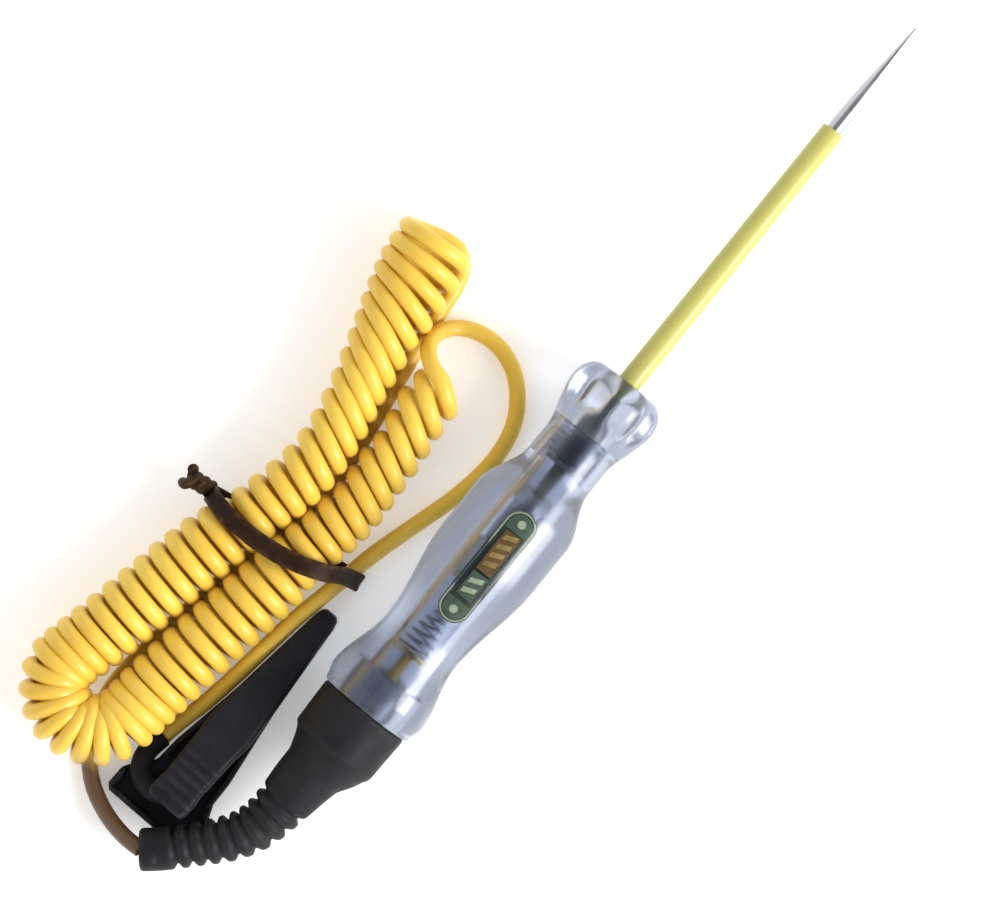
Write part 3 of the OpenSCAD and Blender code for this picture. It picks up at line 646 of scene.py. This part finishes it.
def badge_tile(name, rows, lift, material):
    """A thin printed tile over a grid of (u, v) rows, with its edges carried down into the badge"""
    across = len(rows[0])
    points = [on_swell(u, v, lift) for row in rows for u, v in row]
    faces = []
    for i in range(len(rows) - 1):
        for k in range(across - 1):
            a = i * across + k
            faces.append((a, a + 1, a + across + 1, a + across))
    rim = ([(0, k) for k in range(across)] + [(i, across - 1) for i in range(1, len(rows))]
           + [(len(rows) - 1, k) for k in range(across - 2, -1, -1)]
           + [(i, 0) for i in range(len(rows) - 2, 0, -1)])
    base = len(points)
    points += [on_swell(*rows[i][k], lift - 0.12) for i, k in rim]
    for j, (i, k) in enumerate(rim):
        n = (j + 1) % len(rim)
        faces.append((i * across + k, rim[n][0] * across + rim[n][1], base + n, base + j))
    return solid(name, points, faces, "root", material)


badge_olive = finish("badge_olive", (0.014, 0.024, 0.016), (0.024, 0.040, 0.026), 220.0, 0.8, 0.16, 0.32,
                     1800.0, 0.08, {"Coat Weight": 0.5, "Coat Roughness": 0.12})
badge_gold = finish("badge_gold", (0.36, 0.25, 0.09), (0.24, 0.18, 0.07), 900.0, 0.7, 0.25, 0.45, 3000.0, 0.1,
                    {"Metallic": 0.6})
badge_green = finish("badge_green", (0.032, 0.058, 0.04), (0.055, 0.09, 0.06), 500.0, 0.8, 0.22, 0.4,
                     2200.0, 0.1)
badge_brown = finish("badge_brown", (0.075, 0.045, 0.014), (0.12, 0.07, 0.02), 400.0, 0.8, 0.2, 0.36,
                     2200.0, 0.1)
badge_pale = finish("badge_pale", (0.26, 0.31, 0.22), (0.19, 0.23, 0.15), 500.0, 0.8, 0.22, 0.4, 2200.0, 0.1)
badge = piece("badge_plate", badge_rings(plate_steps), "root", badge_olive)
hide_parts("badge")
# Painted highlight: the pale ring stands for light catching the badge's edge, and runs all round it
edge_highlight = piece("badge_edge_highlight", badge_rings(edge_highlight_steps), "root", badge_pale, closed=True)
end_r = badge_w / 2 - end_inset
for side in (-1, 1):
    rows = []
    for k in range(13):
        v = end_r * (k / 6 - 1)
        outer = (badge_len - badge_w) / 2 + math.sqrt(max(0.0, end_r ** 2 - v * v))
        rows.append([(side * (end_from + (outer - end_from) * j / 4), v) for j in range(5)])
    badge_tile("badge_end_" + ("rear" if side < 0 else "front"), rows, 0.44, badge_green)
fields = [("front_field", -1.6, 9.2, badge_brown), ("rear_field", -8.6, -2.2, badge_green)]
for name, start, stop, material in fields:
    rows = [[(start + (stop - start) * k / 12, v) for k in range(13)]
            for v in (j * 0.66 - 1.98 for j in range(7))]
    badge_tile("badge_" + name, rows, 0.43, material)
marks = [(8.0, badge_gold), (5.6, badge_gold), (3.2, badge_gold), (0.8, badge_gold),
         (-4.0, badge_pale), (-6.6, badge_pale)]
for number, (u, material) in enumerate(marks):
    rows = [[(u + 0.62 * w - 0.42 * v, v) for w in (-1, 1)] for v in (k * 0.48 - 1.44 for k in range(7))]
    badge_tile("badge_bar_%d" % (number + 1), rows, 0.46, material)
for number, side in enumerate((-1, 1)):
    rows = [[(side * dot_at + dot_r * w * math.cos(a), dot_r * math.sin(a))
             for w in (-1, -0.5, 0, 0.5, 1)]
            for a in (math.radians(15 * k - 88) for k in range(12))]
    badge_tile("badge_dot_%d" % (number + 1), rows, 0.47, badge_pale)

# ---- Probe ----
# A steel rod ground to a needle point, and dull where the bush in the cap holds it. A pale yellow
# sleeve insulates all but its last stretch.
sleeve_end_x = 68.0
bare_x = 68.2
taper_x = 76.4
rod_seat_x = -9.6
rod_end_x = -38.2
shank_r = 1.9
core_r = 1.7
sleeve_r = 2.7


def needle_radius(x):
    """The point: one long straight taper"""
    t = (x - taper_x) / (tip_x - 0.5 - taper_x)
    return shank_r - 1.6 * t


needle_steel = finish("needle_steel", (0.60, 0.61, 0.63), (0.42, 0.43, 0.45), 120.0, 0.6, 0.16, 0.34,
                      900.0, 0.12, {"Metallic": 1.0})
rod_outline = ([(rod_seat_x, 0.02), (rod_seat_x, core_r), (bare_x, core_r), (bare_x, shank_r),
                (taper_x, shank_r)]
               + [(taper_x + k * 1.7, needle_radius(taper_x + k * 1.7)) for k in range(1, 13)]
               + [(tip_x - 0.2, 0.16), (tip_x, 0.02)])
rod = piece("probe_needle", lathe(rod_outline, 40), "probe", needle_steel)
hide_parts("probe_rod")

dull_steel = finish("dull_steel", (0.12, 0.125, 0.10), (0.17, 0.172, 0.14), 200.0, 0.8, 0.4, 0.6, 1200.0, 0.2,
                    {"Specular IOR Level": 0.3})
seat_outline = [(rod_end_x, 0.02), (rod_end_x, 1.5), (rod_end_x + 0.2, core_r), (rod_seat_x, core_r),
                (rod_seat_x, 0.02)]
seat = piece("probe_seat", lathe(seat_outline, 32), "probe", dull_steel)
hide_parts("probe_rod")

sleeve_plastic = finish("sleeve_plastic", (0.47, 0.45, 0.115), (0.44, 0.42, 0.10), 70.0, 0.6, 0.34, 0.5,
                        1400.0, 0.1, {"Subsurface Weight": 0.1, "Subsurface Scale": 0.002})
sleeve_outline = [(-9, core_r), (-9, sleeve_r), (20, sleeve_r), (45, 2.68), (sleeve_end_x - 0.5, 2.68),
                  (sleeve_end_x - 0.12, 2.5), (sleeve_end_x, 2.2), (sleeve_end_x, 1.71)]
sleeve = piece("probe_cover", lathe(sleeve_outline, 40), "probe", sleeve_plastic, closed=True)
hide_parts("probe_sleeve")

# ---- Lamp and its contacts ----
# Turned and pressed parts inside the handle. The lamp sits in a plated cage on the rod's end and a
# conical spring feeds it from a brass disc, which is soldered to the lead behind.
brass = finish("brass", (0.62, 0.44, 0.16), (0.42, 0.29, 0.10), 260.0, 0.8, 0.2, 0.42, 1600.0, 0.15,
               {"Metallic": 1.0}, worn_and_highlit=(0.75, 0.6, 0.3))
plated_steel = finish("plated_steel", (0.50, 0.51, 0.52), (0.34, 0.34, 0.35), 300.0, 0.7, 0.24, 0.45,
                      1800.0, 0.2, {"Metallic": 1.0}, worn_and_highlit=(0.62, 0.62, 0.62))
spring_steel = finish("spring_steel", (0.36, 0.36, 0.37), (0.25, 0.25, 0.26), 400.0, 0.6, 0.25, 0.4,
                      2600.0, 0.1, {"Metallic": 1.0})
plug_rubber = finish("plug_rubber", (0.014, 0.014, 0.016), (0.024, 0.023, 0.024), 120.0, 0.6, 0.45, 0.65,
                     2400.0, 0.3, {"Specular IOR Level": 0.12})
bulb_glass = finish("bulb_glass", (0.97, 0.98, 0.98), (0.93, 0.95, 0.96), 90.0, 0.5, 0.02, 0.06, 500.0, 0.03,
                    {"Transmission Weight": 1.0, "IOR": 1.5})
bush_metal = finish("bush_metal", (0.26, 0.27, 0.24), (0.20, 0.20, 0.17), 260.0, 0.8, 0.35, 0.55,
                    1600.0, 0.15, {"Metallic": 0.3})
plug_plastic = finish("plug_plastic", (0.26, 0.27, 0.31), (0.22, 0.23, 0.27), 120.0, 0.6, 0.4, 0.6,
                      1800.0, 0.2)
carried_over = {
    "probe_bush": bush_metal, "lamp_base": brass, "spring_disc": brass, "lamp_socket": plated_steel,
    "lamp_contact": plated_steel, "lamp_posts": plated_steel, "lamp_filament": spring_steel,
    "lamp_glass": bulb_glass, "lamp_insulator": plug_rubber, "rear_plug": plug_plastic,
    "lead_core": wire_plastic,
    "clip_lower_jaw": plated_steel, "clip_upper_jaw": plated_steel, "clip_pin": plated_steel,
    "clip_crimp": plated_steel}
for name, material in carried_over.items():
    nodes[name].data.materials.clear()
    nodes[name].data.materials.append(material)

spring_from = -81.2
spring_to = -63.2
spring_turns = 8
spring_wire_r = 0.35
spring_wide_r = 3.5
spring_narrow_r = 1.1


def contact_spring_line(per_turn=20):
    line = []
    for i in range(spring_turns * per_turn + 1):
        t = i / (spring_turns * per_turn)
        angle = 2 * math.pi * i / per_turn
        r = spring_wide_r + (spring_narrow_r - spring_wide_r) * t
        x = spring_from + 0.4 + (spring_to - spring_from - 0.8) * t
        line.append((x * MM, r * math.cos(angle) * MM, (axis_z + r * math.sin(angle)) * MM))
    return line


contact_spring = piece("contact_spring_wire",
                       rings_along(contact_spring_line(), lambda i, a: spring_wire_r * MM, 10, (1, 0, 0)),
                       None, spring_steel)
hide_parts("contact_spring")
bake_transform(contact_spring)

# ---- Sleeve on the lead's end ----
# A short black tube over the wire's last bend, where it turns back into the clip.
cuff_route = [(-131.5, 31.4, 2.5), (-136.4, 32, 4), (-140.5, 30.3, 4.1), (-142.2, 26.2, 4.1),
              (-140.5, 22.1, 4.1), (-136.4, 20.4, 4.1), (-133.05, 20.34, 4.1)]
cuff_r = 2.35
cuff_line = eased_line([tuple(c * MM for c in p) for p in cuff_route], 0.7 * MM)
cuff = piece("tail_cuff", rings_along(cuff_line, lambda i, a: cuff_r * MM, 20), "root", plug_rubber)
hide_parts("tail_sleeve")

# ---- Ground clip ----
# A sprung clip with toothed steel jaws, each in a moulded black cover. The lower cover is a tray
# with a broad finger pad, and the upper one is a ridged cap that pivots on the pin with its jaw.
clip_nose = (-86, 19.3)
clip_yaw = math.radians(-2)
pivot_x = -35
pivot_z = 6.5
cover_wall = 1.3
tray_height = 4.5
tray_floor = 1.5
tray_round = 0.35
# Where the wire comes in over the tray's side, which is cut down to this height
wire_gap = (-57, -49)
wire_gap_height = 1.6
pad_end = -62.5
lower_plan = [(0, 1.4), (-0.8, 2.2), (-2.5, 2.7), (-24, 4.8), (-31, 5.8), (-44, 7.8), (-50, 8.1), (-53, 9.4),
              (-55.5, 12.2), (-57, 13), (-61.3, 13), (pad_end, 11.8)]
upper_plan = [(0, 1.4), (-0.8, 2.2), (-2.5, 2.7), (-24, 4.9), (-34, 5.7), (-40, 5.2), (-50, 4.9), (-52, 5.2),
              (-55, 5.2), (-56, 4.5)]
upper_top = [(0, 6.9), (-1.3, 7.3), (-12, 8.9), (-24, 10.9), (-35, 12.5), (-45, 14.5), (-56, 17.2)]
upper_skirt = [(0, 4.75), (-27, 4.75), (-33, 5.2), (-39.2, 6.2), (-40.5, 8), (-45, 10.6), (-56, 14)]
solid_from = -54.5
grip_ridges = [-43.5, -45.9, -48.3, -50.7, -53.1]
ridge_height = 0.5
ridge_reach = 0.75


def at_clip(x, y, z):
    return Vector((clip_nose[0] + x * math.cos(clip_yaw) - y * math.sin(clip_yaw),
                   clip_nose[1] + x * math.sin(clip_yaw) + y * math.cos(clip_yaw), z)) * MM


def along_back(outline, x):
    """Value of an outline whose places run backwards from the nose"""
    return between([(-place, value) for place, value in outline], -x)


def tray_loop(inset, height):
    """One loop round the tray, drawn in by inset; height may fall where the wire comes in"""
    half = []
    stations = sorted({p[0] for p in lower_plan} | {-0.4, -57.4, -56.6, -49.4, -48.6}
                      | {-1.5 * k for k in range(1, 42)}, reverse=True)
    for x in stations:
        y = max(0.1, along_back(lower_plan, x) - inset)
        half.append((min(-inset, max(pad_end + inset, x)), y))
    loop = []
    for side, points in ((1, half), (-1, half[::-1])):
        for x, y in points:
            cut = side > 0 and wire_gap[0] < x < wire_gap[1]
            loop.append(at_clip(x, side * y, min(height, wire_gap_height) if cut else height))
    return loop


def clip_tray():
    loops = [(tray_round, 0), (0, tray_round), (0, tray_height - tray_round), (tray_round, tray_height),
             (cover_wall - tray_round, tray_height), (cover_wall, tray_height - tray_round),
             (cover_wall, tray_floor + tray_round), (cover_wall + tray_round, tray_floor)]
    return [tray_loop(inset, height) for inset, height in loops]


def ridge(x):
    """Height of the finger ridges at x"""
    return max([0] + [ridge_height * max(0, 1 - ((x - at) / ridge_reach) ** 2) for at in grip_ridges])


def cap_section(x, wall):
    """The upper cover's section at x: over the outside with rounded shoulders, back along the inside"""
    half = along_back(upper_plan, x)
    top = along_back(upper_top, x) + ridge(x)
    skirt = along_back(upper_skirt, x)
    shoulder = min(1.6, half * 0.7, (top - skirt) * 0.6)
    ring = []
    for inset, order in ((0, 1), (min(wall, half - 0.1), -1)):
        r = max(0.05, shoulder - inset)
        edge = half - inset
        lid = max(skirt + 0.05, top - inset)
        arc = [(edge - r + r * math.cos(a), lid - r + r * math.sin(a)) for a in
               (math.radians(15 * k) for k in range(7))]
        side = [(edge, skirt), (edge, max(skirt, (skirt + lid - r) / 2))]
        side += [(y, max(skirt + 0.02, z)) for y, z in arc]
        outline = side + [(-y, z) for y, z in reversed(side)]
        ring += [at_clip(x, y, z) for y, z in outline[::order]]
    return ring


def clip_cap():
    stations = [0, -0.3, -0.8, -1.6, -2.5] + [-0.6 * k for k in range(5, 93)] + [-55.7, -56]
    thick = 30
    return [cap_section(x, thick if x > -1.0 or x < solid_from else cover_wall) for x in stations]


cover_plastic = finish("cover_plastic", (0.010, 0.010, 0.013), (0.019, 0.018, 0.022), 110.0, 0.6, 0.36,
                       0.55, 2200.0, 0.3, {"Specular IOR Level": 0.12}, worn_and_highlit=(0.03, 0.03, 0.034))
tray = piece("clip_lower_shell", clip_tray(), "root", cover_plastic)
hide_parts("clip_lower_cover")
clip_lid = piece("clip_upper_shell", clip_cap(), "clip_upper", cover_plastic)
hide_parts("clip_upper_cover")

# ---- Clip spring ----
# Hard drawn wire wound round the pin between the two jaws, with a leg bearing on each.
clip_spring_r = 1.95
clip_spring_half = 1.9
clip_spring_wire_r = 0.4


def clip_spring_line():
    line = [at_clip(pivot_x - 5.8, -clip_spring_half, 2.7), at_clip(pivot_x - 4.5, -clip_spring_half, 4.3)]
    count = 72
    for i in range(count + 1):
        angle = math.radians(200 - 1170 * i / count)
        line.append(at_clip(pivot_x + clip_spring_r * math.cos(angle), clip_spring_half * (2 * i / count - 1),
                            pivot_z + clip_spring_r * math.sin(angle)))
    return line + [at_clip(pivot_x - 4.5, clip_spring_half, 9), at_clip(pivot_x - 8, clip_spring_half, 10.4)]


clip_spring = piece("clip_spring_wire",
                    rings_along(clip_spring_line(), lambda i, a: clip_spring_wire_r * MM, 10, (0, 1, 0)),
                    None, spring_steel)
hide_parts("clip_spring")
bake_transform(clip_spring)

# ---- Twist tie ----
# A flat plastic-coated wire pulled round both arms of the coil and the lead's tail, with its ends
# twisted together on the outer side.
tie_mid = (-79.71, 40.2)
tie_lean = math.radians(7.5)
tie_width = 4.2
tie_thick = 0.9
# From what the strap is pulled round to the strap's middle
tie_clear = 0.5 + tie_thick / 2
# How far the strap is bowed along the coil over its top, and how wide the bow is
tie_bow = 3.4
tie_bow_half = 18
# What the strap is pulled round, as place across, height and radius
tie_loops = [(8.7, 8.8, 7.7), (-8.7, 8.8, 7.7), (-18, 3, 1.9), (-18.9, 3, 1.9)]
# The strap's section, in halves of its width and thickness: thin, with a wire along each edge
strap_section = [(-1, -0.5), (-0.8, -1), (-0.3, -0.62), (0.3, -0.62), (0.8, -1), (1, -0.5),
                 (1, 0.5), (0.8, 1), (0.3, 0.62), (-0.3, 0.62), (-0.8, 1), (-1, 0.5)]
end_length = 6.0
end_turns = 1.6
end_reach = 1.0
end_splay = 1.2
end_splay_from = 0.7
end_wire_r = 1.2


def hull(points):
    """The outline that a band takes when it is pulled tight round the points"""
    points = sorted(set(points))

    def half(ordered):
        chain = []
        for p in ordered:
            while len(chain) > 1 and ((chain[-1][0] - chain[-2][0]) * (p[1] - chain[-2][1])
                                      - (chain[-1][1] - chain[-2][1]) * (p[0] - chain[-2][0])) <= 0:
                chain.pop()
            chain.append(p)
        return chain[:-1]

    return half(points) + half(points[::-1])


def evenly(loop, spacing):
    """The same closed outline with points at an even spacing"""
    even = []
    left = 0.0
    for a, b in zip(loop, loop[1:] + loop[:1]):
        length = math.dist(a, b)
        while left < length:
            even.append((a[0] + (b[0] - a[0]) * left / length, a[1] + (b[1] - a[1]) * left / length))
            left += spacing
        left -= length
    return even


def band_rings():
    circle = [math.radians(6 * k) for k in range(60)]
    outline = evenly(hull([(v + (r + tie_clear) * math.cos(a), z + (r + tie_clear) * math.sin(a))
                           for v, z, r in tie_loops for a in circle]), 0.7)
    across = Vector((math.cos(tie_lean), math.sin(tie_lean), 0))
    rings = []
    for i, (v, z) in enumerate(outline):
        ahead = outline[(i + 1) % len(outline)]
        behind = outline[i - 1]
        way = Vector((ahead[0] - behind[0], ahead[1] - behind[1])).normalized()
        at = Vector((tie_mid[0] - v * math.sin(tie_lean), tie_mid[1] + v * math.cos(tie_lean), z))
        at -= across * tie_bow * max(0, 1 - ((v + 1) / tie_bow_half) ** 2) * min(1, max(0, z - 6) / 8)
        out = Vector((-way[1] * math.sin(tie_lean), way[1] * math.cos(tie_lean), -way[0]))
        rings.append([(at + across * (w * tie_width / 2) + out * (t * tie_thick / 2)) * MM
                      for w, t in strap_section])
    return rings


def twisted_end(phase):
    """One of the two ends, wound round the other and then splayed"""
    start = Vector((-81.2, 57.6, 10.6))
    way = Vector((-0.128, 0.97, 0.208)).normalized()
    side = way.cross(Vector((0, 0, 1))).normalized()
    up = side.cross(way)
    line = []
    for i in range(37):
        t = i / 36
        angle = phase + 2 * math.pi * end_turns * t
        reach = end_reach + end_splay * max(0, t - end_splay_from) / (1 - end_splay_from)
        around = (side * math.cos(angle) + up * math.sin(angle)) * reach
        line.append((start + way * (end_length * t) + around) * MM)
    return line


tie_coat = finish("tie_coat", (0.012, 0.006, 0.003), (0.03, 0.013, 0.005), 150.0, 0.8, 0.4, 0.6, 2200.0, 0.25,
                  {"Specular IOR Level": 0.12}, worn_and_highlit=(0.06, 0.03, 0.012))
band = piece("tie_strap", band_rings(), "root", tie_coat, closed=True)
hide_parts("tie_band")
for number in range(2):
    line = twisted_end(math.pi * number)
    end = piece("tie_end_%d" % (number + 1), rings_along(line, lambda i, a: end_wire_r * MM, 14), "root",
                tie_coat)
    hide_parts("tie_twist")
